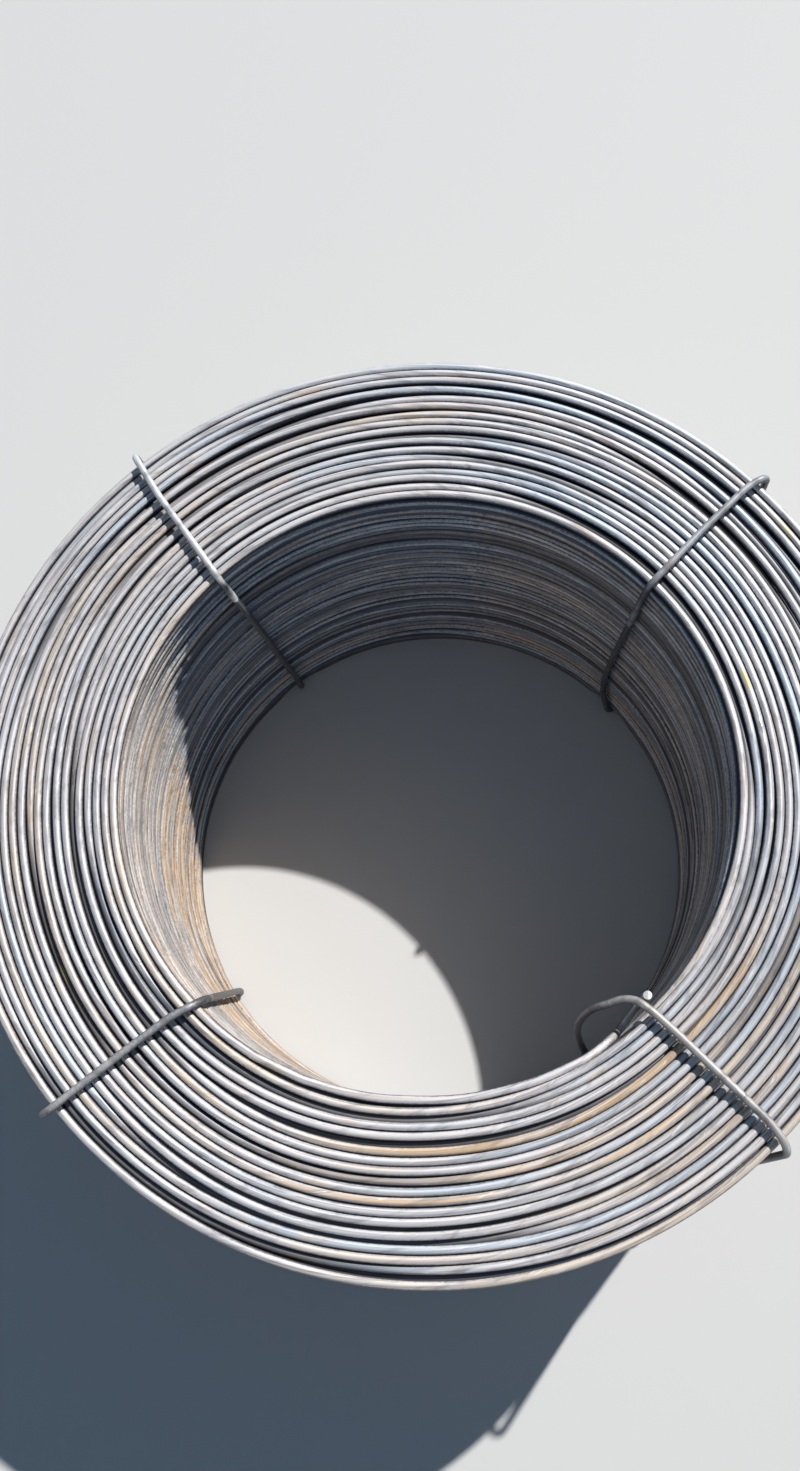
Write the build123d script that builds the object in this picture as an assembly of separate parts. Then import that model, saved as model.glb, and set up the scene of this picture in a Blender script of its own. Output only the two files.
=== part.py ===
from build123d import *
import math
import os

# A coil of baling wire as it is sold: one long wire wound in rows and layers round a drum that has
# been drawn out, held together by four tie wires that go round the winding's section.
# Millimetres. Origin at the centre of the lower end, on the bore's axis, +Z up along the bore.

# The winding
bore_diameter = 200.0
wire_diameter = 2.7
layers = 19
layer_pitch = 2.78
rows = 50
row_pitch = 2.75

# The end turns, as they show on both ends of the winding
crown_land = 0.6
valley_depth = 1.0

# The bands of rows on both walls, with a slit as deep as the valleys between each two
rows_per_band = 6

# The free end of the wire, from inside the winding out into the bore, under the loose tie and up:
# depth below the top, distance of the centre line off the bore's wall, and degrees round from that
# tie's lower run, with a bend radius for each corner
free_end_route = [
    (4.1, -2.2, -28.6),
    (4.4, 1.1, -13.6),
    (9.0, 1.7, -0.6),
    (14.8, 1.6, 9.3),
    (4.0, 3.0, 8.7),
]
free_end_bends = [80.0, 80.0, 5.0]

# The tie wires
tie_diameter = 2.5
tie_gap = 0.3
tie_top_gap = 1.3
tie_bend = 2.9
shoulder_bend = 6.0
outer_overhang = 3.0
inner_overhang = 0.9
floor_gap = 0.1

# The seats that the ties press into the lower end turns
seat_side_gap = 0.3
seat_roof_gap = 1.2

# The ties' closures, low on the outer wall
closure_height = 34.0
tail_length = 18.0
tail_gap = 0.3

# Azimuth in degrees of each tie's run under the winding
tie_azimuths = {
    "tie_back_right": 44.4,
    "tie_back_left": 130.4,
    "tie_front_left": 217.0,
    "tie_front_right": 309.6,
}

# How far each tie's top run leans round from its lower run, in degrees, at the outer and inner rim
tie_leans = {
    "tie_back_right": (0.9, -0.3),
    "tie_back_left": (3.8, 7.8),
    "tie_front_left": (8.0, 11.4),
    "tie_front_right": (7.3, 6.0),
}

# Points where a tie's inner run leaves the straight: depth below the top, distance off the wall,
# lean in degrees and bend radius
tie_slack = {
    "tie_back_right": [(104.0, 1.2, 3.4, 60.0)],
    "tie_back_left": [(60.0, 1.2, 3.8, 60.0)],
    "tie_front_left": [(58.0, 1.6, 6.7, 60.0)],
    "tie_front_right": [
        (2.0, 7.2, 3.4, 12.0),
        (13.0, 10.2, -1.1, 20.0),
        (44.0, 8.3, -3.4, 60.0),
        (90.0, 2.4, -2.1, 60.0),
    ],
}

wire_radius = wire_diameter / 2
bore_radius = bore_diameter / 2
outer_radius = bore_radius + (layers - 1) * layer_pitch + wire_diameter
height = (rows - 1) * row_pitch + wire_diameter
tie_radius = tie_diameter / 2
seat_depth = floor_gap + tie_diameter + seat_roof_gap


def polar(radius, azimuth, z):
    """A point at a radius and azimuth about the bore's axis."""
    angle = math.radians(azimuth)
    return Vector(radius * math.cos(angle), radius * math.sin(angle), z)


def turn_radius(layer):
    """Radius of the centre line of one layer's turns."""
    return bore_radius + wire_radius + layer * layer_pitch


def end_turns(z_crown, inward):
    """Edges of one end's turns, from the bore out: each a flat crown with rounded shoulders."""
    z_valley = z_crown + inward * valley_depth
    edges = []
    for layer in range(layers):
        centre = turn_radius(layer)
        left = bore_radius if layer == 0 else centre - layer_pitch / 2
        right = outer_radius if layer == layers - 1 else centre + layer_pitch / 2
        land_start = (centre - crown_land / 2, z_crown)
        land_end = (centre + crown_land / 2, z_crown)
        edges.append(TangentArc(land_start, (left, z_valley), tangent=(-1, 0)))
        edges.append(Line(land_start, land_end))
        edges.append(TangentArc(land_end, (right, z_valley), tangent=(1, 0)))
    return edges


def wall_rows(radius, inward):
    """Edges of one wall, from the lower end up: bands of rows with rounded shoulders."""
    bands = round(rows / rows_per_band)
    z_start = valley_depth
    edges = []
    for band in range(1, bands):
        next_row = round(rows * band / bands)
        z_next = wire_radius + next_row * row_pitch
        z_last = z_next - row_pitch
        slit = (radius + inward * valley_depth, (z_last + z_next) / 2)
        shoulder = (radius, z_last + crown_land / 2)
        next_shoulder = (radius, z_next - crown_land / 2)
        edges.append(Line((radius, z_start), shoulder))
        edges.append(TangentArc(shoulder, slit, tangent=(0, 1)))
        edges.append(TangentArc(next_shoulder, slit, tangent=(0, -1)))
        z_start = next_shoulder[1]
    edges.append(Line((radius, z_start), (radius, height - valley_depth)))
    return edges


def winding():
    """The wound wire as one turned solid."""
    walls = wall_rows(bore_radius, 1) + wall_rows(outer_radius, -1)
    profile = make_face(Wire(walls + end_turns(0, 1) + end_turns(height, -1)))
    return revolve(Plane.XZ * profile, Axis.Z)


def tube(points, radii, diameter):
    """A round wire swept along straight runs joined by tangent arcs."""
    path = FilletPolyline(*points, radius=radii)
    section = Plane(path @ 0, z_dir=path % 0) * Circle(diameter / 2)
    return sweep(section, path=path)


def free_end():
    """The last stretch of the wire, which leaves the bore's wall and turns up to the rim."""
    tie_azimuth = tie_azimuths["tie_front_right"]
    points = [
        polar(bore_radius - off_wall, tie_azimuth + turn, height - depth)
        for depth, off_wall, turn in free_end_route
    ]
    return tube(points, free_end_bends, wire_diameter)


def seat(azimuth):
    """The slot that one tie's lower run lies in."""
    width = tie_diameter + 2 * seat_side_gap
    length = outer_radius - bore_radius + 2 * tie_diameter
    middle = (bore_radius + outer_radius) / 2
    slot = Pos(middle, 0, 0) * Box(length, width, 2 * seat_depth)
    return Rot(0, 0, azimuth) * slot


def tie_path(name):
    """A tie's route and bend radii, from its upper tail round the section to its lower tail."""
    azimuth = tie_azimuths[name]
    outer_lean, inner_lean = tie_leans[name]
    z_top = height + tie_top_gap + tie_radius
    z_low = floor_gap + tie_radius
    inner_wall = bore_radius - tie_gap - tie_radius
    outer_wall = outer_radius + tie_gap + tie_radius
    strand_step = (tie_diameter + tail_gap) / 2
    tail = polar(tail_length, azimuth + 90, 0)
    upper_knee = polar(outer_wall, azimuth, closure_height + strand_step)
    lower_knee = polar(outer_wall, azimuth, closure_height - strand_step)
    slack_points = [
        polar(bore_radius - off_wall - tie_radius, azimuth + lean, height - depth)
        for depth, off_wall, lean, bend in tie_slack[name]
    ]
    points = [
        upper_knee + tail,
        upper_knee,
        polar(outer_wall + outer_overhang, azimuth + outer_lean, z_top),
        polar(inner_wall - inner_overhang, azimuth + inner_lean, z_top),
        *slack_points,
        polar(inner_wall, azimuth, z_low),
        polar(outer_wall, azimuth, z_low),
        lower_knee,
        lower_knee + tail,
    ]
    radii = [tie_bend, shoulder_bend, shoulder_bend]
    radii += [bend for depth, off_wall, lean, bend in tie_slack[name]]
    radii += [tie_bend] * 3
    return points, radii


wire_coil = winding() + free_end()
for azimuth in tie_azimuths.values():
    wire_coil -= seat(azimuth)

nodes = {"wire_coil": wire_coil}
for name in tie_azimuths:
    nodes[name] = tube(*tie_path(name), tie_diameter)

os.makedirs("parts", exist_ok=True)
for name, solid in nodes.items():
    export_step(solid, f"parts/{name}.step")
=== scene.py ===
# %% [markdown]
# # A coil of baling wire
# The real thing is one wire of black annealed iron, wound in rows along a drum and in layers over
# one another until it makes a thick ring. Four short pieces of the same kind of wire go round the
# ring's section and keep it from springing open. In this lesson the ring is rebuilt turn by turn
# where it can be seen: on its two ends and on its two walls.

# %% Load the frame
import math

import bpy
import numpy as np
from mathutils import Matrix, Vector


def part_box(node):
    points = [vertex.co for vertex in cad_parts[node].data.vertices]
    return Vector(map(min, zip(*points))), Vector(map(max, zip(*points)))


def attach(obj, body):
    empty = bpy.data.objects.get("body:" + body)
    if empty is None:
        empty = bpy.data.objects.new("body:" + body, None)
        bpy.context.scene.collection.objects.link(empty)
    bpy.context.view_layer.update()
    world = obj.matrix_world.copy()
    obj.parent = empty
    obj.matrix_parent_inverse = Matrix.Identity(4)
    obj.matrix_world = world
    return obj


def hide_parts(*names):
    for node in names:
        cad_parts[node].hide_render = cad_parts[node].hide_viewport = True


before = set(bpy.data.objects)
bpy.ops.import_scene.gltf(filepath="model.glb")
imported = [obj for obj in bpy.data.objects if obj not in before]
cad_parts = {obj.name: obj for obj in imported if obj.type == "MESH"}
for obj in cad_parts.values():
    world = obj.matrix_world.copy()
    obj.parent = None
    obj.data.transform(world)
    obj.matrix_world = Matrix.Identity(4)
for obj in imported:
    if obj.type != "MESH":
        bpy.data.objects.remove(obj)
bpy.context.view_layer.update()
ring_low, ring_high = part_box("wire_coil")
print("ring", [round(v, 4) for v in ring_high - ring_low])

# %% [markdown]
# ## Sizes
# Everything here is in metres. The ring's height and outer radius come from the frame. The bore and
# the two wires are stock sizes, so they are written down. The centre lines of the outermost turns
# lie one wire radius inside those surfaces.

# %% Sizes of the ring and its wires
mm = 0.001
wire_radius = 1.35 * mm
tie_radius = 1.25 * mm
bore_radius = 100 * mm
outer_radius = ring_high.x
ring_height = ring_high.z
layers = 19
rows = 50
inner_line = bore_radius + wire_radius
outer_line = outer_radius - wire_radius
low_line = wire_radius
high_line = ring_height - wire_radius
tie_azimuths = {
    "tie_back_right": 44.4,
    "tie_back_left": 130.4,
    "tie_front_left": 217.0,
    "tie_front_right": 309.6,
}
print("turns from", round(inner_line / mm, 2), "to", round(outer_line / mm, 2), "mm off the axis")

# %% [markdown]
# ## Node maths as Python
# A material or a Geometry Nodes tree is mostly arithmetic. Dragging forty Math nodes about hides
# what they say, so this small class wraps one socket and lets plain Python operators add the nodes.
# The same class serves shaders and geometry, because both use the same Math and Noise nodes.

# %% A socket that does arithmetic
class Value:
    """One output socket of a node tree, with operators that add Math or Vector Math nodes."""

    def __init__(self, graph, socket):
        self.graph = graph
        self.socket = socket

    def join(self, operation, other, swapped=False):
        """A Math node with another value, or a Vector Math node where either is a vector."""
        pair = (other, self) if swapped else (self, other)
        vector = any(isinstance(v, Value) and v.socket.type == "VECTOR" for v in pair)
        kind = "ShaderNodeVectorMath" if vector else "ShaderNodeMath"
        return self.graph.node(kind, {"operation": operation}, dict(enumerate(pair)))

    def __add__(self, other):
        return self.join("ADD", other)

    def __sub__(self, other):
        return self.join("SUBTRACT", other)

    def __mul__(self, other):
        return self.join("MULTIPLY", other)

    def __truediv__(self, other):
        return self.join("DIVIDE", other)

    def __rsub__(self, other):
        return self.join("SUBTRACT", other, swapped=True)

    __radd__ = __add__

    def dot(self, other):
        """How far this direction goes along another."""
        sockets = {0: self, 1: other}
        return self.graph.node("ShaderNodeVectorMath", {"operation": "DOT_PRODUCT"}, sockets, 1)

    def vector(self):
        """A number as a vector with three equal parts."""
        return self.graph.node("ShaderNodeCombineXYZ", sockets={0: self, 1: self, 2: self})

    def ramp(self, low, high):
        """0 below low, 1 above high, and smooth between them."""
        sockets = {"Value": self, "From Min": low, "From Max": high}
        return self.graph.node("ShaderNodeMapRange", {"interpolation_type": "SMOOTHSTEP"}, sockets)


class Graph:
    """A node tree, with one method that adds any node."""

    def __init__(self, tree):
        self.tree = tree

    def node(self, kind, settings=None, sockets=None, output=0):
        made = self.tree.nodes.new(kind)
        for name, value in (settings or {}).items():
            setattr(made, name, value)
        for key, value in (sockets or {}).items():
            socket = made.inputs[key]
            if isinstance(value, Value):
                self.tree.links.new(value.socket, socket)
            elif socket.type == "VECTOR" and isinstance(value, (int, float)):
                socket.default_value = (value,) * 3
            else:
                socket.default_value = value
        return Value(self, made.outputs[output])

    def mix(self, factor, first, second):
        """A colour between two others."""
        sockets = {"Factor": factor, "A": first, "B": second}
        made = self.tree.nodes.new("ShaderNodeMix")
        made.data_type = "RGBA"
        for name, value in sockets.items():
            socket = next(s for s in made.inputs if s.name == name and s.enabled)
            if isinstance(value, Value):
                self.tree.links.new(value.socket, socket)
            else:
                socket.default_value = value
        return Value(self, next(s for s in made.outputs if s.enabled))

    def mark(self, name):
        """The number that a mark of the lines has left on the mesh."""
        return self.node("ShaderNodeAttribute", {"attribute_name": name}, output=2)

    def noise(self, vector, scale, detail=2.0, w=None, output=0):
        """Noise texture, in four dimensions where w is given."""
        settings = {"noise_dimensions": "3D" if w is None else "4D"}
        sockets = {"Vector": vector, "Scale": scale, "Detail": detail}
        if w is not None:
            sockets["W"] = w
        return self.node("ShaderNodeTexNoise", settings, sockets, output)

# %% [markdown]
# ## The camera, the floor and the light
# The camera stands where the photograph's stood: a little right of the bore's axis, towards the
# viewer, 404 mm above the top turns and looking steeply down. The floor is plain and pale. The key
# light comes from high at the back right, where the sun was, and is slightly warm. It is a sun lamp,
# so that it is as strong all over the floor, and its angle is nearly twice the sun's, which softens
# the shadows. The world fills them with a weak blue, as a clear sky does. What the camera and the
# shiny wire see of the world is pale near the horizon, so that a low view has a plain background.

# %% Camera
camera_right, camera_back, camera_up = 23.4 * mm, 106.7 * mm, 403.5 * mm
camera_turn = (16.85, 3.52, 3.39)
camera_data = bpy.data.cameras.new("camera")
camera_data.sensor_width = 36
camera_data.lens = 31.74
camera = bpy.data.objects.new("camera", camera_data)
bpy.context.scene.collection.objects.link(camera)
camera.location = (camera_right, -camera_back, high_line + camera_up)
camera.rotation_euler = [math.radians(angle) for angle in camera_turn]
bpy.context.scene.camera = camera
print("camera", [round(v, 4) for v in camera.location])

# %% Floor and lamp
def plain_material(name, colour, roughness):
    """One colour all over."""
    material = bpy.data.materials.new(name)
    material.use_nodes = True
    shader = material.node_tree.nodes["Principled BSDF"]
    shader.inputs["Base Color"].default_value = (*colour, 1)
    shader.inputs["Roughness"].default_value = roughness
    return material


floor_size = 80.0
floor_colour = (0.74, 0.74, 0.73)
bpy.ops.mesh.primitive_plane_add(size=floor_size)
floor = bpy.context.object
floor.name = "floor"
floor.data.materials.append(plain_material("pale_floor", floor_colour, roughness=0.7))

key_azimuth, key_height = math.radians(54), math.radians(46)
key_strength = 3.9
key_colour = (1.0, 0.975, 0.945)
key_data = bpy.data.lights.new("key", "SUN")
key_data.angle = math.radians(0.9)
key_data.energy = key_strength
key_data.color = key_colour
key = bpy.data.objects.new("key", key_data)
bpy.context.scene.collection.objects.link(key)
key.location = (0.4, 0.6, 1.0)
key.rotation_euler = (math.pi / 2 - key_height, 0, key_azimuth + math.pi / 2)

bpy.context.scene.view_settings.view_transform = "Standard"
print("floor", floor_size, "m wide, key light", key_strength)

# %% World
fill_colour, fill_strength = (0.44, 0.68, 1.0, 1), 0.155
pale_horizon, dark_overhead = (0.79, 0.80, 0.81, 1), (0.075, 0.095, 0.13, 1)
world = bpy.data.worlds.new("world")
world.use_nodes = True
bpy.context.scene.world = world
sky = Graph(world.node_tree)
fill = sky.node("ShaderNodeBackground", sockets={"Color": fill_colour, "Strength": fill_strength})
direction = sky.node("ShaderNodeTexCoord")
height = sky.node("ShaderNodeSeparateXYZ", sockets={0: direction}, output=2)
shade = sky.mix(height.ramp(0.30, 0.75), pale_horizon, dark_overhead)
backdrop = sky.node("ShaderNodeBackground", sockets={"Color": shade, "Strength": 1.0})
rays = [sky.node("ShaderNodeLightPath", output=name) for name in
        ("Is Camera Ray", "Is Glossy Ray", "Is Transmission Ray")]
seen = rays[0] + rays[1] + rays[2]
both = sky.node("ShaderNodeMixShader", sockets={0: seen, 1: fill, 2: backdrop})
world.node_tree.links.new(both.socket, world.node_tree.nodes["World Output"].inputs[0])
print("world", len(world.node_tree.nodes), "nodes")

# %% [markdown]
# ## The wire's finish
# Annealing leaves a thin dark oxide on the iron, drawing leaves fine lines along it, and handling
# rubs the crowns bright. Damp then starts rust in places, and dust settles on the turns. The dark
# oxide on the flanks and between the wires is partly painted shade, the bright crowns are partly a
# painted highlight, and the pale dust on the lit side of the bore is partly painted light. The colours
# are mixed from marks that each turn carries, such as its tone and its rust, and from noise that is
# stretched along the wire. A direction on the circle stands for the place along a turn, so the
# pattern has no seam.

# %% Coil wire and tie wire
bare_iron_and_glint = (0.92, 0.92, 0.91, 1)
yellow_paint = (0.75, 0.60, 0.16, 1)


def wire_material(name, neutral, warm, cool, rust, dust, dark, dark_cool, wear_and_highlight, metal, fine):
    """Drawn wire that is dark with oxide, partly as painted shade, and worn bare on its crowns, partly
    as a painted highlight; rusty here and powdery there, partly as painted light.

    wear gives the two values of crown between which the oxide goes, metal how metallic the bare
    wire is, and fine how many drawn lines go to a metre across the wire.
    """
    material = bpy.data.materials.new(name)
    material.use_nodes = True
    graph = Graph(material.node_tree)
    shader = material.node_tree.nodes["Principled BSDF"]

    place = graph.node("ShaderNodeTexCoord", output=3)
    flat = place * (1, 1, 0)
    distance = graph.node("ShaderNodeVectorMath", {"operation": "LENGTH"}, {0: flat}, output=1)
    height = graph.node("ShaderNodeSeparateXYZ", sockets={0: place}, output=2)
    direction = graph.node("ShaderNodeVectorMath", {"operation": "NORMALIZE"}, {0: flat})
    # The rub mark carries wear and also painted light and shade: lit places are rubbed brighter,
    # shaded and sunk places darker.
    tone = graph.mark("tone")
    stain = graph.mark("rust")
    crown = graph.mark("crown")
    rubbed = graph.mark("rub")
    dusted_and_lit = graph.mark("dust")
    painted = graph.mark("paint")
    across = graph.node("ShaderNodeCombineXYZ", sockets={0: distance, 1: height, 2: tone})
    across = across * (fine, fine, 1)

    def streaky(round_scale, across_scale, shift):
        """Noise with one scale round the ring and one across it, shifted by each turn's tone."""
        scales = (across_scale, across_scale, shift)
        return graph.noise(direction * round_scale + across * scales, scale=1.0)

    drawn = streaky(7, 1.0, 0)
    patches = streaky(2.5, 0.24, 7)
    streaks = streaky(4, 0.64, 5)
    blotches = streaky(18, 0.30, 11)
    scuffs = streaky(40, 0.78, 3)
    grains = graph.noise(place, scale=1100.0)

    warmth = (tone + (patches - 0.5) * 1.6).ramp(0.0, 0.9)
    coolness = (tone + (patches - 0.5) * 1.2).ramp(0.0, -0.9)
    colour = graph.mix(warmth, neutral, warm)
    colour = graph.mix(coolness, colour, cool)
    rust_mask = (stain + (patches - 0.5) * 0.8 + (streaks - 0.5) * 2.8).ramp(0.35, 0.95)
    # The pale mask is partly dust and partly painted light; on the bore wall it follows the lit side.
    dust_and_light_spread = 0.7 + (patches - 0.5) * 0.8 + (grains - 0.5) * 0.6
    dust_and_light_mask = dusted_and_lit * crown.ramp(-0.1, 0.45) * dust_and_light_spread
    # Cool-toned wire takes a bluish dark, which on the shaded bore wall is partly painted shade.
    dark = graph.mix(coolness, dark, dark_cool)
    colour = graph.mix(dust_and_light_mask, colour, dust)
    colour = graph.mix(rust_mask * 0.8, colour, rust)
    # The oxide covers all but the crowns: partly real oxide and wear, partly painted shade on the
    # flanks and in the valleys and a painted highlight along the crowns.
    scuffed = crown + (patches - 0.5) * 0.5 + (grains - 0.5) * 0.5
    oxide_and_shade = (1 - scuffed.ramp(*wear_and_highlight) * rubbed) * (1 - dust_and_light_mask * 0.45) * 0.9
    colour = graph.mix(oxide_and_shade, colour, dark)
    colour = graph.mix((1 - drawn).ramp(0.45, 0.7) * 0.45, colour, dark)
    colour = graph.mix(blotches.ramp(0.5, 0.75) * 0.35, colour, dark)
    # Near-white specks on the crowns: partly bare scuffs, partly painted glints.
    scuff_and_glint = scuffs.ramp(0.60, 0.68) * patches.ramp(0.45, 0.6) * crown.ramp(0.4, 0.8) * rubbed
    colour = graph.mix(scuff_and_glint * 0.9, colour, bare_iron_and_glint)
    colour = graph.mix(painted * crown.ramp(0.75, 0.95) * 0.8, colour, yellow_paint)

    relief = graph.node(
        "ShaderNodeBump",
        sockets={"Strength": 0.25, "Distance": 0.2 * mm, "Height": drawn * 0.6 + grains * 0.6},
    )
    material.node_tree.links.new(colour.socket, shader.inputs["Base Color"])
    rough = 0.50 + rust_mask * 0.3 + dust_and_light_mask * 0.2 - scuff_and_glint * 0.15 + (drawn - 0.5) * 0.1
    material.node_tree.links.new(rough.socket, shader.inputs["Roughness"])
    bare = (1 - rust_mask * 0.9) * (1 - dust_and_light_mask * 0.8) * metal
    material.node_tree.links.new(bare.socket, shader.inputs["Metallic"])
    material.node_tree.links.new(relief.socket, shader.inputs["Normal"])
    return material


coil_finish = wire_material(
    "coil_wire",
    neutral=(0.80, 0.785, 0.82, 1),
    warm=(0.82, 0.71, 0.61, 1),
    cool=(0.66, 0.75, 0.85, 1),
    rust=(0.82, 0.55, 0.31, 1),
    dust=(0.86, 0.79, 0.72, 1),
    dark=(0.047, 0.049, 0.062, 1),
    dark_cool=(0.035, 0.050, 0.097, 1),
    wear_and_highlight=(0.24, 0.75),
    metal=0.24,
    fine=1400,
)
tie_finish = wire_material(
    "tie_wire",
    neutral=(0.80, 0.80, 0.81, 1),
    warm=(0.80, 0.73, 0.65, 1),
    cool=(0.60, 0.66, 0.76, 1),
    rust=(0.36, 0.25, 0.17, 1),
    dust=(0.66, 0.62, 0.57, 1),
    dark=(0.07, 0.07, 0.08, 1),
    dark_cool=(0.06, 0.07, 0.10, 1),
    wear_and_highlight=(0.1, 0.8),
    metal=0.25,
    fine=250,
)
core_colour = (0.03, 0.03, 0.035)
core_finish = plain_material("core", core_colour, roughness=0.8)
print("coil wire's finish", len(coil_finish.node_tree.nodes), "nodes")

# %% [markdown]
# ## Sweeping wire along lines
# Every visible wire is the same round section swept along a line, so one Geometry Nodes tree makes
# them all. It takes a mesh of edges, rounds the corners that ask for it, adds the small kinks that
# drawn wire keeps, and sweeps the section. It also marks how far each place on the wire faces its
# rubbed side, which the finish calls the crown. It ends with real geometry and its material.

# %% The tree that makes wire
steps_per_bend = 8


def wire_tree():
    """The tree, with an input for everything that differs from wire to wire."""
    tree = bpy.data.node_groups.new("wire", "GeometryNodeTree")
    face = tree.interface
    face.new_socket("Lines", in_out="INPUT", socket_type="NodeSocketGeometry")
    for name, start in (("Wire Radius", wire_radius), ("Kink", 0.0), ("Kink Size", 0.03)):
        face.new_socket(name, in_out="INPUT", socket_type="NodeSocketFloat").default_value = start
    for name, start in (("Sides", 10), ("Seed", 1)):
        face.new_socket(name, in_out="INPUT", socket_type="NodeSocketInt").default_value = start
    face.new_socket("Rubbed Side", in_out="INPUT", socket_type="NodeSocketVector")
    face.new_socket("Finish", in_out="INPUT", socket_type="NodeSocketMaterial")
    face.new_socket("Wire", in_out="OUTPUT", socket_type="NodeSocketGeometry")

    graph = Graph(tree)
    asked = tree.nodes.new("NodeGroupInput")
    given = {s.name: Value(graph, s) for s in asked.outputs if s.name}
    curve = graph.node("GeometryNodeMeshToCurve", sockets={0: given["Lines"]})
    bend = graph.node("GeometryNodeInputNamedAttribute", {"data_type": "FLOAT"}, {0: "bend"})
    curve = graph.node(
        "GeometryNodeFilletCurve", {"mode": "POLY"},
        {"Curve": curve, "Count": steps_per_bend, "Limit Radius": True, "Radius": bend},
    )
    place = graph.node("GeometryNodeInputPosition")
    shift = graph.noise(place / given["Kink Size"], scale=1.0, w=given["Seed"], output=1)
    shift = (shift - 0.5) * given["Kink"]
    curve = graph.node("GeometryNodeSetPosition", sockets={"Geometry": curve, "Offset": shift})
    section = graph.node(
        "GeometryNodeCurvePrimitiveCircle",
        sockets={"Resolution": given["Sides"], "Radius": given["Wire Radius"]},
    )
    tube = graph.node(
        "GeometryNodeCurveToMesh",
        sockets={"Curve": curve, "Profile Curve": section, "Fill Caps": True},
    )
    tube = graph.node("GeometryNodeSetShadeSmooth", sockets={0: tube})
    normal = graph.node("GeometryNodeInputNormal")
    flat = place * (1, 1, 0)
    outwards = graph.node("ShaderNodeVectorMath", {"operation": "NORMALIZE"}, {0: flat})
    parts = graph.node("ShaderNodeSeparateXYZ", sockets={0: given["Rubbed Side"]})
    upwards = graph.node("ShaderNodeSeparateXYZ", sockets={0: given["Rubbed Side"]}, output=2)
    rubbed_up = graph.node("ShaderNodeCombineXYZ", sockets={2: upwards})
    crown = normal.dot(rubbed_up + outwards * parts.vector())
    tube = graph.node(
        "GeometryNodeStoreNamedAttribute",
        sockets={"Geometry": tube, "Name": "crown", "Value": crown},
    )
    tube = graph.node("GeometryNodeRealizeInstances", sockets={0: tube})
    tube = graph.node("GeometryNodeSetMaterial", sockets={0: tube, "Material": given["Finish"]})
    end = tree.nodes.new("NodeGroupOutput")
    tree.links.new(tube.socket, end.inputs[0])
    return tree


wire_nodes = wire_tree()
print("wire tree", len(wire_nodes.nodes), "nodes")

# %% Lines in, plain mesh out
def line_mesh(name, lines, closed, **marks):
    """A mesh of edges. lines has the shape (lines, points, 3), and each mark (lines, points)."""
    count, length, _ = lines.shape
    mesh = bpy.data.meshes.new(name)
    index = np.arange(count * length).reshape(count, length)
    following = np.roll(index, -1, axis=1)
    edges = np.stack([index, following], axis=-1)
    edges = (edges if closed else edges[:, :-1]).reshape(-1, 2)
    mesh.vertices.add(count * length)
    mesh.vertices.foreach_set("co", lines.astype(np.float32).ravel())
    mesh.edges.add(len(edges))
    mesh.edges.foreach_set("vertices", edges.astype(np.int32).ravel())
    for mark, values in marks.items():
        attribute = mesh.attributes.new(mark, "FLOAT", "POINT")
        spread = np.broadcast_to(values, (count, length))
        attribute.data.foreach_set("value", spread.astype(np.float32).ravel())
    return mesh


def make_wire(name, mesh, finish, slot, replaced, **inputs):
    """Runs the wire tree on a mesh of lines and keeps the result as a plain piece."""
    piece = bpy.data.objects.new(name, mesh)
    bpy.context.scene.collection.objects.link(piece)
    modifier = piece.modifiers.new("wire", "NODES")
    modifier.node_group = wire_nodes
    inputs["Finish"] = finish
    for item in wire_nodes.interface.items_tree:
        word = item.name.replace(" ", "_")
        if item.in_out == "INPUT" and word in inputs:
            modifier[item.identifier] = inputs[word]
    depsgraph = bpy.context.evaluated_depsgraph_get()
    made = bpy.data.meshes.new_from_object(piece.evaluated_get(depsgraph))
    piece.modifiers.clear()
    piece.data = made
    made.name = name
    bpy.data.meshes.remove(mesh)
    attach(piece, "root")
    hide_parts(replaced)
    print(name, "triangles", sum(len(p.vertices) - 2 for p in made.polygons))


def make_plain_piece(name, points, faces, finish):
    """A piece of the coil from points and faces, for the two that aren't swept."""
    mesh = bpy.data.meshes.new(name)
    mesh.from_pydata(points, [], faces)
    mesh.materials.append(finish)
    piece = bpy.data.objects.new(name, mesh)
    bpy.context.scene.collection.objects.link(piece)
    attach(piece, "root")
    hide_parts("wire_coil")
    print(name, "triangles", sum(len(corners) - 2 for corners in faces))

# %% [markdown]
# ## How turns lie beside each other
# Turns of wire can't pass through each other. Two that lie at the same level keep a wire's diameter
# apart, and where one sinks the other may come closer. So each end of the ring is laid out from two
# things: for each turn, the stretches where it sinks between its neighbours, and for each gap, a
# smooth random share of the room that is left. Those gaps are the dark slits of the real coil.

# %% Smooth curves round the ring
def ring_noise(rng, count, samples, waves, roll_off=0.8):
    """count smooth curves that close on themselves, with a spread of about 1."""
    around = np.linspace(0, 2 * math.pi, samples, endpoint=False)
    total = np.zeros((count, samples))
    for wave in waves:
        phase = rng.uniform(0, 2 * math.pi, (count, 1))
        size = rng.normal(0, 1, (count, 1)) / wave**roll_off
        total += size * np.cos(wave * around + phase)
    return total / total.std()


def smooth_step(x, low, high):
    """0 below low, 1 above high, and smooth between them."""
    t = np.clip((x - low) / (high - low), 0, 1)
    return t * t * (3 - 2 * t)


def stretch(samples, centre, half, soft):
    """1 within half degrees of an azimuth, falling to 0 over the next soft degrees."""
    degrees = np.linspace(0, 360, samples, endpoint=False)
    off = np.abs((degrees - centre + 180) % 360 - 180)
    return 1 - smooth_step(off, half, half + soft)


def marked(count, samples, marks, soft, unit=mm):
    """One row of values for each turn or gap, from (row, azimuth, half degrees, amount)."""
    rows_of_values = np.zeros((count, samples))
    for row, centre, half, amount in marks:
        rows_of_values[row] += stretch(samples, centre, half, soft) * amount * unit
    return rows_of_values


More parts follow.
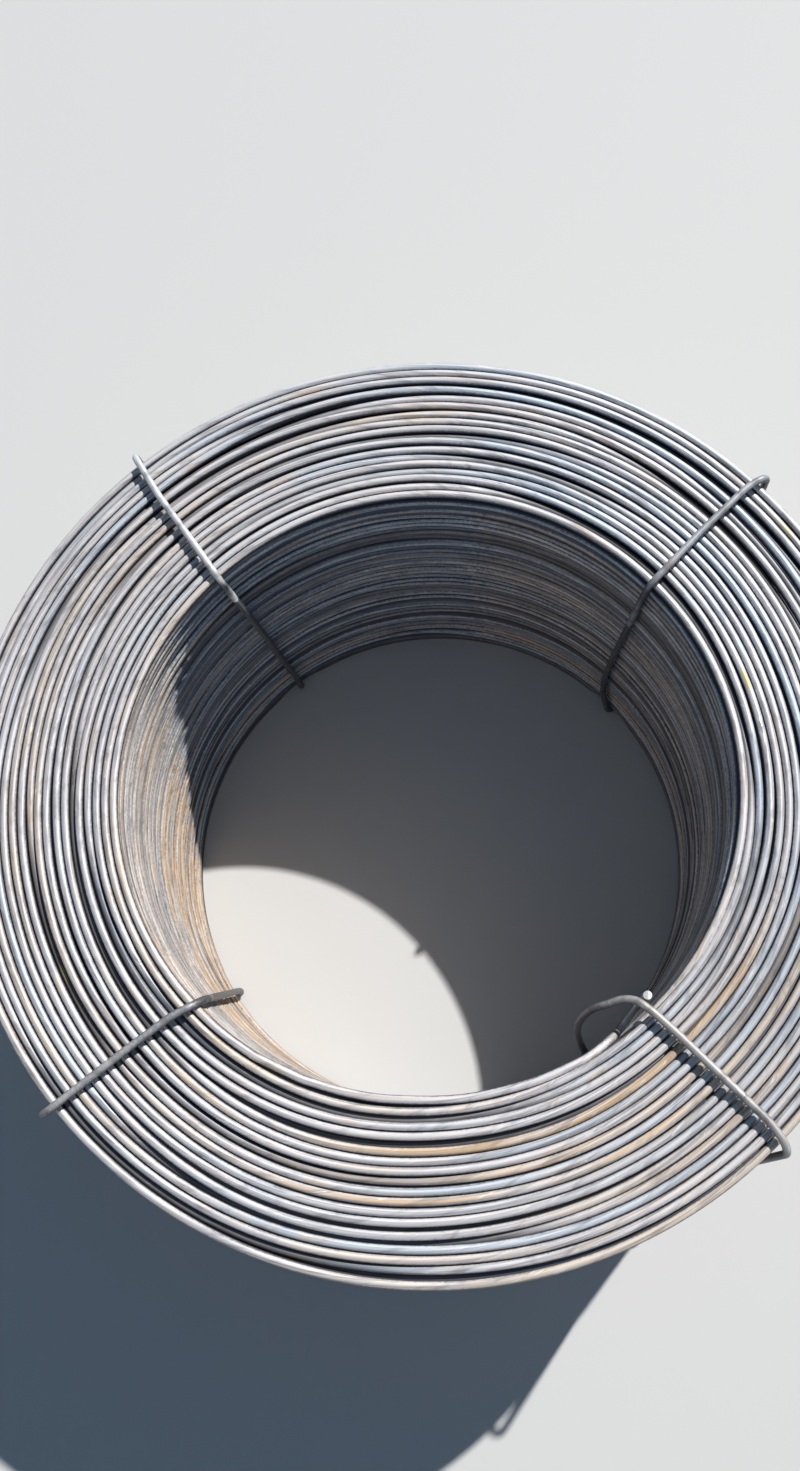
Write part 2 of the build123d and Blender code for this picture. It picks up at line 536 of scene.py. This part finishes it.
def stiffened(lines, degrees):
    """The same closed lines without bends shorter than some degrees, as stiff wire lies."""
    count = lines.shape[1]
    waves = np.fft.rfftfreq(count, 1 / count)
    keep = np.exp(-0.5 * (waves * math.radians(degrees)) ** 2)
    return np.fft.irfft(np.fft.rfft(lines, axis=1) * keep, count, axis=1)


def sunk_stretches(rng, sink, tries, depth):
    """Sinks more turns here and there, never beside a neighbour that sinks too."""
    count, samples = sink.shape
    for _ in range(tries):
        turn = rng.integers(1, count - 1)
        centre, half, soft = rng.uniform(0, 360), rng.uniform(5, 45), rng.uniform(25, 50)
        dip = stretch(samples, centre, half, soft) * depth * rng.uniform(0.35, 1.0)
        beside = sink[turn - 1:turn + 2].max(axis=0)
        if not ((beside > 0) & (dip > 0)).any():
            sink[turn] += dip
    return sink


def spread_turns(sink, greed, start, end, gaps=0):
    """Places of turns side by side from start to end, for the sink and the greed of each.

    The gap beside a turn that has sunk takes a larger share of the room that is left.
    """
    diameter = 2 * wire_radius
    closest = 0.45 * diameter
    least_share, step_share, largest_step = 0.3, 3.2, 2.5 * mm
    step = np.diff(sink, axis=0)
    spacing = np.sqrt(np.maximum(diameter**2 - step**2, closest**2))
    spacing = spacing + gaps
    spare = (end - start) - spacing.sum(axis=0)
    print("least spare room", round(spare.min() / mm, 2), "mm")
    share = np.exp(greed) + least_share
    share = share + step_share * np.minimum(np.abs(step), largest_step) / wire_radius
    spacing = spacing + spare * share / share.sum(axis=0)
    first = np.full((1, sink.shape[1]), start)
    return np.concatenate([first, start + np.cumsum(spacing, axis=0)])

# %% [markdown]
# ## The top turns
# Nineteen turns show on top, counted from the bore. The deepest dips and the widest gaps are set one
# by one, because the eye finds them first, and smaller ones are left to chance. Each is written as the
# turn or gap, its azimuth, half its length in degrees and its size in millimetres, and a gap below
# zero draws two turns together. A turn that has sunk between its neighbours is painted dark, partly
# because nothing rubs it and partly as painted shade. The tones are listed too, warm above zero and
# bluish below. At the front right they differ most.

# %% Dips, gaps and tones of the top turns
top_samples = 288
top_dips = [
    (0, 296, 12, 4.5), (1, 38, 28, 2.0), (2, 255, 24, 2.0), (2, 342, 2, 1.6), (3, 212, 4, 1.9),
    (5, 75, 5, 1.8), (5, 205, 15, 2.1), (6, 302, 20, 0.9), (8, 112, 30, 1.7), (8, 336, 2, 1.7),
    (10, 210, 5, 2.1), (11, 42, 8, 2.2), (13, 36, 1, 1.7), (13, 137, 18, 2.3), (14, 260, 14, 2.3),
    (15, 72, 36, 2.3), (15, 306, 4, 0.9), (17, 245, 14, 2.1), (17, 152, 14, 1.0),
]
top_gaps = [
    (0, 318, 2, -0.6), (0, 240, 5, 0.3), (1, 115, 15, 0.8), (2, 5, 6, 0.7), (3, 344, 2, 0.7),
    (4, 275, 18, 1.6), (6, 10, 5, 0.8), (6, 115, 28, 0.7), (7, 205, 12, 0.7), (10, 331, 2, 0.7),
    (11, 115, 16, 0.9), (12, 268, 18, 0.9), (17, 280, 6, 0.6),
]
top_tones = np.array([
    0.3, 0.2, -0.1, -0.2, 0.1, 0.0, 0.1, -0.5, -0.1, 0.2,
    0.4, 0.1, 0.3, 0.0, -0.5, 0.1, -0.1, 0.1, 0.2,
])
front_tones = np.array([
    0.2, 0.15, -0.15, 0.0, 0.05, 0.9, -0.5, 0.15, 0.7, -0.5,
    0.6, 0.3, -0.5, 0.0, 0.35, -0.9, 0.5, -0.1, 0.4,
])
rusty_turns = {5: 0.66, 8: 0.3, 10: 0.25, 14: 0.2}
paint_flecks = [(3, 20, 1.2, 1.0), (17, 38, 0.6, 0.7), (10, 212, 0.8, 0.5), (11, 213, 0.8, 0.5)]
print("turns on top", layers, "with", len(top_dips), "dips and", len(top_gaps), "gaps set by hand")


def circle_lines(radii, heights):
    """Lines round the ring's axis, from radii and heights of the shape (lines, points)."""
    angle = np.linspace(0, 2 * math.pi, radii.shape[1], endpoint=False)
    return np.stack([radii * np.cos(angle), radii * np.sin(angle), heights], axis=-1)


def lay_end(seed, samples, sink_depth, dips=(), gaps=()):
    """Radii and depths of one end's turns."""
    dip_soft, gap_soft, dip_stiffness, turn_stiffness = 30, 28, 5, 8
    random_dips, unevenness, greed_spread = 90, 0.12 * mm, 1.1
    rng = np.random.default_rng(seed)
    sink = sunk_stretches(rng, marked(layers, samples, dips, dip_soft), random_dips, sink_depth)
    sink = sink + np.abs(ring_noise(rng, layers, samples, range(2, 7))) * unevenness
    sink = np.maximum(stiffened(sink, dip_stiffness), 0)
    greed = ring_noise(rng, layers - 1, samples, range(1, 5)) * greed_spread
    clear = marked(layers - 1, samples, gaps, gap_soft)
    radii = spread_turns(sink, greed, inner_line, outer_line, clear)
    return stiffened(radii, turn_stiffness), sink


# %% Lay out and sweep the top turns
top_radii, top_sink = lay_end(
    seed=11, samples=top_samples, sink_depth=1.9 * mm, dips=top_dips, gaps=top_gaps
)
top_heights = high_line - top_sink
front = stretch(top_samples, 300, 34, 30)
bluish_back = stretch(top_samples, 75, 35, 30)
tone_rng = np.random.default_rng(5)
tone_waves, tone_spread = range(1, 9), 0.25
top_tone = top_tones[:, None] * (1 - front) + front_tones[:, None] * front
top_tone = top_tone + ring_noise(tone_rng, layers, top_samples, tone_waves) * tone_spread
top_tone = top_tone - 0.25 * bluish_back
faint_rust = 0.08
rust_stretch = stretch(top_samples, 300, 28, 14)
top_rust = np.full((layers, top_samples), faint_rust)
for turn, amount in rusty_turns.items():
    top_rust[turn] += amount * rust_stretch
# Sunk turns are painted darker, partly as wire that nothing rubs and partly as painted shade.
first_sheltered, sheltered = 0.7 * mm, 2.0 * mm
top_rub = 1 - 0.85 * smooth_step(top_sink, first_sheltered, sheltered)
# Around 178 and 345 degrees the turns are painted duller, as painted shade.
painted_shade_places = stretch(top_samples, 178, 22, 25) + stretch(top_samples, 345, 15, 25)
top_rub = top_rub * (1 - 0.18 * painted_shade_places)
# Dust at 120 and 300 degrees is partly dust and partly painted light that brightens those turns.
dust_and_light_places = stretch(top_samples, 120, 25, 25) + stretch(top_samples, 300, 35, 25)
top_dust_and_light = 0.3 * dust_and_light_places
top_mesh = line_mesh(
    "top_turns",
    circle_lines(top_radii, top_heights)[1:],
    True,
    tone=top_tone[1:],
    rust=top_rust[1:],
    rub=top_rub[1:],
    dust=top_dust_and_light,
    paint=marked(layers, top_samples, paint_flecks, 1.3, unit=1)[1:],
    bend=0,
)
make_wire(
    "top_turns", top_mesh, coil_finish, "coil_wire", "wire_coil",
    Sides=10, Kink=0.2 * mm, Rubbed_Side=(0, 0, 1),
)

# %% The layer under the top turns
nesting = 0.87
under_tones = np.roll(top_tones[1:], 4)
under_radii = (top_radii[1:] + top_radii[:-1]) / 2
under_heights = np.minimum(top_heights[1:], top_heights[:-1]) - nesting * 2 * wire_radius
# A low rub paints these turns dark: partly unrubbed oxide, partly painted shade under the top turns.
under_mesh = line_mesh(
    "under_turns",
    circle_lines(under_radii[:, ::2], under_heights[:, ::2]),
    True,
    tone=under_tones[:, None],
    rust=0.1,
    rub=0.2,
    dust=0,
    bend=0,
)
make_wire(
    "under_turns", under_mesh, coil_finish, "coil_wire", "wire_coil",
    Sides=6, Rubbed_Side=(0, 0, 1),
)

# %% [markdown]
# ## The walls
# The innermost and the outermost layer show their fifty rows. They lie much closer than the turns on
# the ends, because each row was guided into place. Between bands of six or seven rows a slit opens,
# and the two rows beside it draw back from the wall and are painted darker, as painted shade. A few
# rows stand proud of the others or are dented, and these are listed one by one. On the side of the
# bore that the light reaches the rows are painted pale, partly as dust and partly as painted light,
# with rust lower down, and on the shaded side they are painted dark and bluish, partly as their
# oxide and partly as painted shade.

# %% How the rows of a wall lie
rows_per_band = 6
bands = round(rows / rows_per_band)
slit_rows = [round(rows * band / bands) for band in range(1, bands)]
proud_soft = 20
print("slits in a wall", len(slit_rows))


def lay_rows(rng, samples, dents, proud_rows):
    """How far each row stands proud of its wall, its height, and which rows lie beside a slit."""
    drawn_back, unevenness, usual_proud = 0.8 * mm, 0.10 * mm, 0.16 * mm
    dent_soft, row_greed, row_stiffness = 12, 1.6, 6
    slit_greed, slit_depth, slit_wave = 2.5, 0.5, 0.2
    back = smooth_step(ring_noise(rng, rows, samples, range(1, 6)), 0.9, 2.0) * drawn_back
    back = back + marked(rows, samples, dents, dent_soft)
    back = back + np.abs(ring_noise(rng, rows, samples, range(2, 8))) * unevenness
    greed = ring_noise(rng, rows - 1, samples, range(1, 5))
    greed = greed + rng.normal(0, row_greed, (rows - 1, 1))
    beside_slit = np.zeros((rows, 1))
    for row in slit_rows:
        beside_slit[row - 1:row + 1] = 1
        greed[row - 1] += slit_greed
    waves = slit_wave * ring_noise(rng, rows, samples, range(1, 5))
    back = back + beside_slit * (slit_depth + waves) * mm
    heights = stiffened(spread_turns(back, greed, low_line, high_line), row_stiffness)
    proud = np.abs(rng.normal(0, usual_proud, (rows, 1)))
    marks = [mark[:4] for mark in proud_rows]
    return proud + marked(rows, samples, marks, proud_soft) - back, heights, beside_slit


# %% Sweep the rows of both walls
def lay_wall(name, seed, samples, line, outward, reach, rubbed, dusty_and_lit, rusty, blue_and_shade, proud_rows, dents):
    """One wall of rows, with outward as 1 or -1 and reach as how far round a row the rubbing goes.

    A proud row is (row, azimuth, half degrees, millimetres, its tone, its extra rust).
    """
    rng = np.random.default_rng(seed)
    proud, heights, beside_slit = lay_rows(rng, samples, dents, proud_rows)
    depth = (high_line - heights) / (high_line - low_line)
    low_down = smooth_step(depth, 0.15, 0.7)
    each_row = (rows, 1)
    rust_level, tone_level, dust_and_light_level = 0.02, 0.15, 1.0
    rust = rng.normal(rust_level, 0.12, each_row) + rusty * (0.25 + 0.75 * low_down)
    # On the lit side the tone goes warm, as painted light, and on the shaded side bluish, as painted
    # shade.
    tone = rng.normal(tone_level, 0.4, each_row) * (1 - 0.6 * dusty_and_lit) + 0.3 * dusty_and_lit - blue_and_shade
    # Rows on the lit side are painted brighter, as painted light, and rows beside a slit darker, as
    # painted shade.
    rub = rng.normal(rubbed, 0.45, each_row) + 0.35 * dusty_and_lit - 0.3 * beside_slit
    rub = np.clip(rub, 0, 1.2)
    # The pale colour on the lit side is partly dust and partly painted light, and it is thinner beside
    # a slit, as painted shade.
    dust = np.clip(rng.normal(dust_and_light_level, 0.4, each_row) - 0.5 * beside_slit, 0, 1.3) * dusty_and_lit
    for row, centre, half, amount, row_tone, row_rust in proud_rows:
        here = stretch(samples, centre, half, proud_soft)
        tone[row] += (row_tone - tone[row]) * here
        rust[row] += row_rust * here
        rub[row] = np.maximum(rub[row], here)
    inside = slice(1, -1)
    mesh = line_mesh(
        name,
        circle_lines(line + outward * proud, heights)[inside],
        True,
        tone=tone[inside],
        rust=rust[inside],
        rub=rub[inside],
        dust=dust[inside],
        bend=0,
    )
    make_wire(
        name, mesh, coil_finish, "coil_wire", "wire_coil",
        Sides=8, Kink=0.12 * mm, Rubbed_Side=(outward * reach, 0, 0),
    )


def stretch_between(samples, start, end, soft):
    """1 from one azimuth to another, for each row where either is a column of azimuths."""
    return stretch(samples, (start + end) / 2, (end - start) / 2, soft)


bore_samples, outer_samples = 180, 216
lit_from_below, lit_from_above = 184, 148
lit_from = np.linspace(lit_from_below, lit_from_above, rows)[:, None]
# Around 228 degrees the pale painted light is a quarter weaker.
weaker_painted_light = 1 - 0.25 * stretch(bore_samples, 228, 22, 14)
# The pale colour starts just past the lit edge as painted light, the bluish painted shade ends at it,
# and the rust starts no earlier than it.
lay_wall(
    "bore_turns",
    seed=21,
    samples=bore_samples,
    line=inner_line,
    outward=-1,
    reach=0.72,
    rubbed=0.75,
    dusty_and_lit=stretch_between(bore_samples, lit_from + 4, 256, 8) * weaker_painted_light,
    rusty=stretch_between(bore_samples, np.maximum(lit_from + 4, 168), 242, 16) * 0.75,
    blue_and_shade=0.2 + stretch_between(bore_samples, 86, lit_from, 8) * 0.75,
    # Row 48's bluish tone is partly painted shade.
    proud_rows=[(48, 48, 62, 1.3, -1.0, 0.0), (40, 162, 12, 0.5, 0.9, 0.9)],
    dents=[
        (48, 306, 5, 1.0), (47, 308, 5, 1.0), (46, 310, 5, 1.0), (45, 312, 5, 1.0), (44, 314, 5, 0.8),
    ],
)
lay_wall(
    "outer_turns",
    seed=22,
    samples=outer_samples,
    line=outer_line,
    outward=1,
    reach=0.8,
    rubbed=0.9,
    dusty_and_lit=0,
    rusty=0.15,
    blue_and_shade=0,
    proud_rows=[],
    dents=[],
)

# %% [markdown]
# ## The lower end
# The coil lies on its lower turns. They are the same as the top ones, but they climb over the ties'
# lower runs, which the coil's weight presses up between them.

# %% Lay out and sweep the lower turns
low_samples = 240
low_tones = np.roll(top_tones, 7)
low_radii, low_sink = lay_end(seed=12, samples=low_samples, sink_depth=1.4 * mm)
tie_lift = 2 * tie_radius + 0.2 * mm
half_lift, lift_soft = 1.5, 7
over_ties = [stretch(low_samples, azimuth, half_lift, lift_soft) for azimuth in tie_azimuths.values()]
lift = sum(over_ties) * tie_lift
low_mesh = line_mesh(
    "lower_turns",
    circle_lines(low_radii, low_line + np.maximum(low_sink, lift)),
    True,
    tone=low_tones[:, None],
    rust=0.3,
    rub=0.7,
    dust=0,
    bend=0,
)
make_wire(
    "lower_turns", low_mesh, coil_finish, "coil_wire", "wire_coil",
    Sides=8, Rubbed_Side=(0, 0, -1),
)

# %% [markdown]
# ## The layers inside
# Behind the turns that show lie hundreds more. Only slits of them are seen, and no light gets
# through, so a dark ring with a scalloped section stands for them.

# %% A dark ring behind the turns
def core_piece():
    """The dark ring, a little smaller than the turns that hide it."""
    top_margin, side_margin, wave, steps = 6.2 * mm, 2.4 * mm, 0.3 * mm, 96
    corners = [
        (inner_line + side_margin, low_line + top_margin),
        (outer_line - side_margin, low_line + top_margin),
        (outer_line - side_margin, high_line - top_margin),
        (inner_line + side_margin, high_line - top_margin),
    ]
    middle = (inner_line + outer_line) / 2
    section = []
    for (r0, z0), (r1, z1) in zip(corners, corners[1:] + corners[:1]):
        count = max(2, round(math.hypot(r1 - r0, z1 - z0) / wire_radius))
        for k in range(count):
            r = r0 + (r1 - r0) * k / count
            z = z0 + (z1 - z0) * k / count
            section.append((r + math.copysign(wave * (k % 2), middle - r), z))
    points = [
        (r * math.cos(a), r * math.sin(a), z)
        for a in np.linspace(0, 2 * math.pi, steps, endpoint=False)
        for r, z in section
    ]
    n = len(section)
    faces = []
    for s in range(steps):
        here, there = s * n, ((s + 1) % steps) * n
        for k in range(n):
            following = (k + 1) % n
            faces.append((here + k, there + k, there + following, here + following))
    make_plain_piece("inner_layers", points, faces, core_finish)


core_piece()

# %% [markdown]
# ## The free end
# The innermost turn on top is the wire's last one. It rises from the wall right of the loose tie,
# goes round until it has nearly come back, leaves the wall, passes under that tie and turns up. Side
# cutters left two bright slopes on it with a ridge between them.

# %% Route of the free end
def polar(radius, azimuth, z):
    """A point at a radius and an azimuth in degrees about the ring's axis."""
    angle = math.radians(azimuth)
    return np.array([radius * math.cos(angle), radius * math.sin(angle), z])


def smooth_line(points, steps):
    """Points along a smooth curve through some points, each span cut into steps (Catmull-Rom)."""
    points = np.asarray(points)
    before = 2 * points[:1] - points[1:2]
    after = 2 * points[-1:] - points[-2:-1]
    padded = np.concatenate([before, points, after])
    made = []
    for a, b, c, d in zip(padded, padded[1:], padded[2:], padded[3:]):
        for t in np.arange(steps) / steps:
            bent = (c - a) * t + (2 * a - 5 * b + 4 * c - d) * t**2 + (3 * b - a - 3 * c + d) * t**3
            made.append(b + bent / 2)
    return made + [points[-1]]


end_tie = tie_azimuths["tie_front_right"]
# Each corner: degrees round from the loose tie, millimetres off the bore's wall, and depth
end_corners = [
    (-58, -1.0, 1.4), (-50, -0.5, 1.4), (-42, -0.1, 1.4), (-30, 0.0, 1.4), (-18, 0.0, 1.5),
    (-9, -0.1, 1.9), (-5, 0.1, 3.1), (-2, 0.6, 6.0), (-0.5, 0.9, 9.4), (0.7, 1.2, 13.4),
    (2.6, 1.7, 16.2), (5.5, 2.5, 17.0), (8.0, 3.3, 17.0),
]
steps_per_span = 5
end_points = smooth_line(
    [
        polar(bore_radius - off * mm, end_tie + turn, ring_height - depth * mm)
        for turn, off, depth in end_corners
    ],
    steps_per_span,
)
tip_off, tip_turn, tip_rise = 3.3 * mm, 7.85, 1.2 * mm
end_tip = polar(bore_radius - tip_off, end_tie + tip_turn, ring_height + tip_rise)
end_bend = 3 * mm
print("points on the free end", len(end_points) + 1)

# %% The turn before it, and the sweep
rises_at, leaves_at = 312, 244 + 360
rise_depth, rise_steps, most_sink = 2.9 * mm, 16, 0.2 * mm
first, last = round(rises_at / 360 * top_samples), round(leaves_at / 360 * top_samples)
steps_round = np.arange(first, last)
places_round = steps_round % top_samples
rise = rise_depth * (1 - smooth_step(steps_round - first, 0, rise_steps))
last_turn = circle_lines(top_radii[:1], top_heights[:1])[0][places_round]
last_turn[:, 2] = high_line - np.minimum(top_sink[0, places_round], most_sink) - rise
end_route = np.array([[*last_turn, *end_points, end_tip]])
tail = len(end_points) + 1
end_bends = np.array([[0] * (len(last_turn) + len(end_points) - 1) + [end_bend, 0]])


def along_last_turn(values, at_the_end):
    """What a mark says along the last turn, and one number for the stretch after it."""
    return np.array([[*values[places_round], *[at_the_end] * tail]])


end_mesh = line_mesh(
    "free_end", end_route, False,
    tone=along_last_turn(top_tone[0], 0.1),
    rust=along_last_turn(top_rust[0], 0.1),
    rub=along_last_turn(np.ones(top_samples), 1.0),
    dust=along_last_turn(top_dust_and_light, 0.3),
    bend=end_bends,
)
make_wire(
    "free_end", end_mesh, coil_finish, "coil_wire", "wire_coil",
    Sides=14, Rubbed_Side=(0, 0, 1),
)

# %% The bright cut at its tip
cut_colour = (0.86, 0.86, 0.85)
cut_finish = plain_material("bright_cut", cut_colour, roughness=0.35)


def cut_piece():
    """A cap on the tip. Each ring is a share of the wire's radius and a height in ridges."""
    ridge_azimuth = end_tie + 50
    axis = end_route[0, -1] - end_route[0, -2]
    axis = axis / np.linalg.norm(axis)
    side = np.cross(axis, polar(1, ridge_azimuth, 0))
    side = side / np.linalg.norm(side)
    other = np.cross(axis, side)
    ridge, crest, steps = 0.5 * mm, 1.15, 24
    rings = [(1.0, -0.3), (1.0, 1.0), (0.93, crest), (0.6, crest), (0.3, crest)]
    points = []
    for share, lift in rings:
        for k in range(steps):
            a = 2 * math.pi * k / steps
            height = lift * ridge * (1 - abs(math.sin(a)) * share) if lift > 0 else lift * mm
            offset = side * math.cos(a) + other * math.sin(a)
            points.append(end_tip + offset * share * wire_radius + axis * height)
    points.append(end_tip + axis * ridge * crest)
    faces = []
    for ring in range(len(rings) - 1):
        for k in range(steps):
            following = (k + 1) % steps
            here, there = ring * steps, (ring + 1) * steps
            faces.append((here + k, here + following, there + following, there + k))
    last = (len(rings) - 1) * steps
    faces += [(last + k, last + (k + 1) % steps, len(points) - 1) for k in range(steps)]
    make_plain_piece("free_end_cut", points, faces, cut_finish)


cut_piece()

# %% [markdown]
# ## The ties
# Each tie is one wire bent by hand round the ring's section. It lies across the top turns, goes down
# the bore's wall, under the ring and up the outer wall, where its two ends are twisted together. The
# corners are points with a bend radius, and the twist is two helices round one line. A tie leans a
# little on its way, so its points are given in degrees round from its lower run: on top as radius in
# millimetres and lean, and down the bore as depth, distance off the wall and lean.

# %% Tie routes
closure_height, closure_spread = 34 * mm, 5 * mm
twist_radius = tie_radius + 0.05 * mm
twist_off = 2.4 * tie_radius
twist_start, twist_length, twist_turns, twist_steps = 2 * mm, 17 * mm, 2.25, 40
top_gap, bore_gap, outer_gap, floor_gap = 1.2 * mm, 0.5 * mm, 0.4 * mm, 0.1 * mm
top_bends = (6 * mm, 40 * mm, 40 * mm, 6 * mm)
slack_bend, foot_bend, closure_bend = 60 * mm, 2.9 * mm, 3 * mm
slack_steps = 3
tie_slack = {
    "tie_back_right": [(104, 1.2, 3.4)],
    "tie_back_left": [(60, 1.2, 3.8)],
    "tie_front_left": [(58, 1.6, 6.7), (118, 2.2, 1.4)],
    "tie_front_right": [
        (-2.4, -2.2, 6.3), (-2.2, 0.6, 6.05), (-1.6, 3.2, 5.7), (0, 5.5, 4.7), (2, 7.1, 3.3),
        (4.5, 8.1, 1.7), (7.5, 9.3, 0.2), (12.5, 10.0, -1.1), (20, 10.0, -2.3), (31, 9.4, -3.2),
        (44, 8.2, -3.4), (59, 6.6, -3.15), (75, 4.5, -2.6), (90, 2.4, -2.1), (112, 0.6, -1.0),
    ],
}
tie_top_route = {
    "tie_back_right": [(155.5, 0.3), (148, 1.0), (125, 0.6), (98, -0.7)],
    "tie_back_left": [(156.5, 3.5), (136, 4.9), (118, 5.9), (98, 7.6)],
    "tie_front_left": [(156.5, 8.4), (125, 9.4), (108, 10.4), (98, 12.2)],
    "tie_front_right": [(156, 6.5), (147, 7.2), (112, 6.75), (104, 6.45)],
}


def twist(azimuth, phase):
    """One strand of the twisted ends, from the tie to the tip."""
    start = polar(outer_radius + twist_off, azimuth, closure_height)
    along = polar(1, azimuth + 90, 0)
    outwards = polar(1, azimuth, 0)
    up = np.array([0, 0, 1.0])
    points = []
    for t in np.linspace(0, 1, twist_steps):
        turn = phase + 2 * math.pi * twist_turns * t
        ring = up * math.cos(turn) + outwards * math.sin(turn)
        points.append(start + along * (twist_start + twist_length * t) + ring * twist_radius)
    return points


def tie_route(name):
    """Corner points and bend radii of a tie."""
    azimuth = tie_azimuths[name]
    z_top = ring_height + top_gap + tie_radius
    z_low = floor_gap + tie_radius
    inner_wall = bore_radius - bore_gap - tie_radius
    outer_wall = outer_radius + outer_gap + tie_radius
    top = [polar(radius * mm, azimuth + lean, z_top) for radius, lean in tie_top_route[name]]
    slack = [
        polar(bore_radius - off * mm - tie_radius, azimuth + lean, ring_height - depth * mm)
        for depth, off, lean in tie_slack[name]
    ]
    foot = polar(inner_wall, azimuth, z_low)
    down_the_bore = smooth_line([top[-1], *slack, foot], slack_steps)
    corners = [
        (polar(outer_wall, azimuth, closure_height + closure_spread), closure_bend),
        *zip(top, top_bends),
        *[(point, slack_bend) for point in down_the_bore[1:-1]],
        (foot, foot_bend),
        (polar(outer_wall, azimuth, z_low), foot_bend),
        (polar(outer_wall, azimuth, closure_height - closure_spread), closure_bend),
    ]
    upper, lower = twist(azimuth, 0), twist(azimuth, math.pi)
    points = upper[::-1] + [c[0] for c in corners] + lower
    bends = [0] * len(upper) + [c[1] for c in corners] + [0] * len(lower)
    return np.array([points]), np.array([bends])


# %% Sweep the ties: for each its tone, how rubbed it is on top, partly as a painted highlight, and below, partly as painted shade, and how far round
rub_fade = 60 * mm
tie_tones = {
    "tie_back_right": (-0.3, 0.55, 0.4, 1.0),
    "tie_back_left": (-0.2, 1.2, 0.35, 1.4),
    "tie_front_left": (-0.1, 0.75, 0.9, 0.6),
    "tie_front_right": (0.3, 0.55, 0.55, 1.1),
}
for name, (tone, rub_on_top, rub_below, reach) in tie_tones.items():
    route, bends = tie_route(name)
    on_top = smooth_step(route[..., 2], ring_height - rub_fade, ring_height)
    rub = rub_below + (rub_on_top - rub_below) * on_top
    mesh = line_mesh(
        name + "_wire", route, False, tone=tone, rust=0.05, rub=rub, dust=0, bend=bends
    )
    make_wire(
        name + "_wire", mesh, tie_finish, "tie_wire", name,
        Sides=14, Wire_Radius=tie_radius, Kink=0.5 * mm, Kink_Size=0.02, Rubbed_Side=(0, 0, reach),
    )
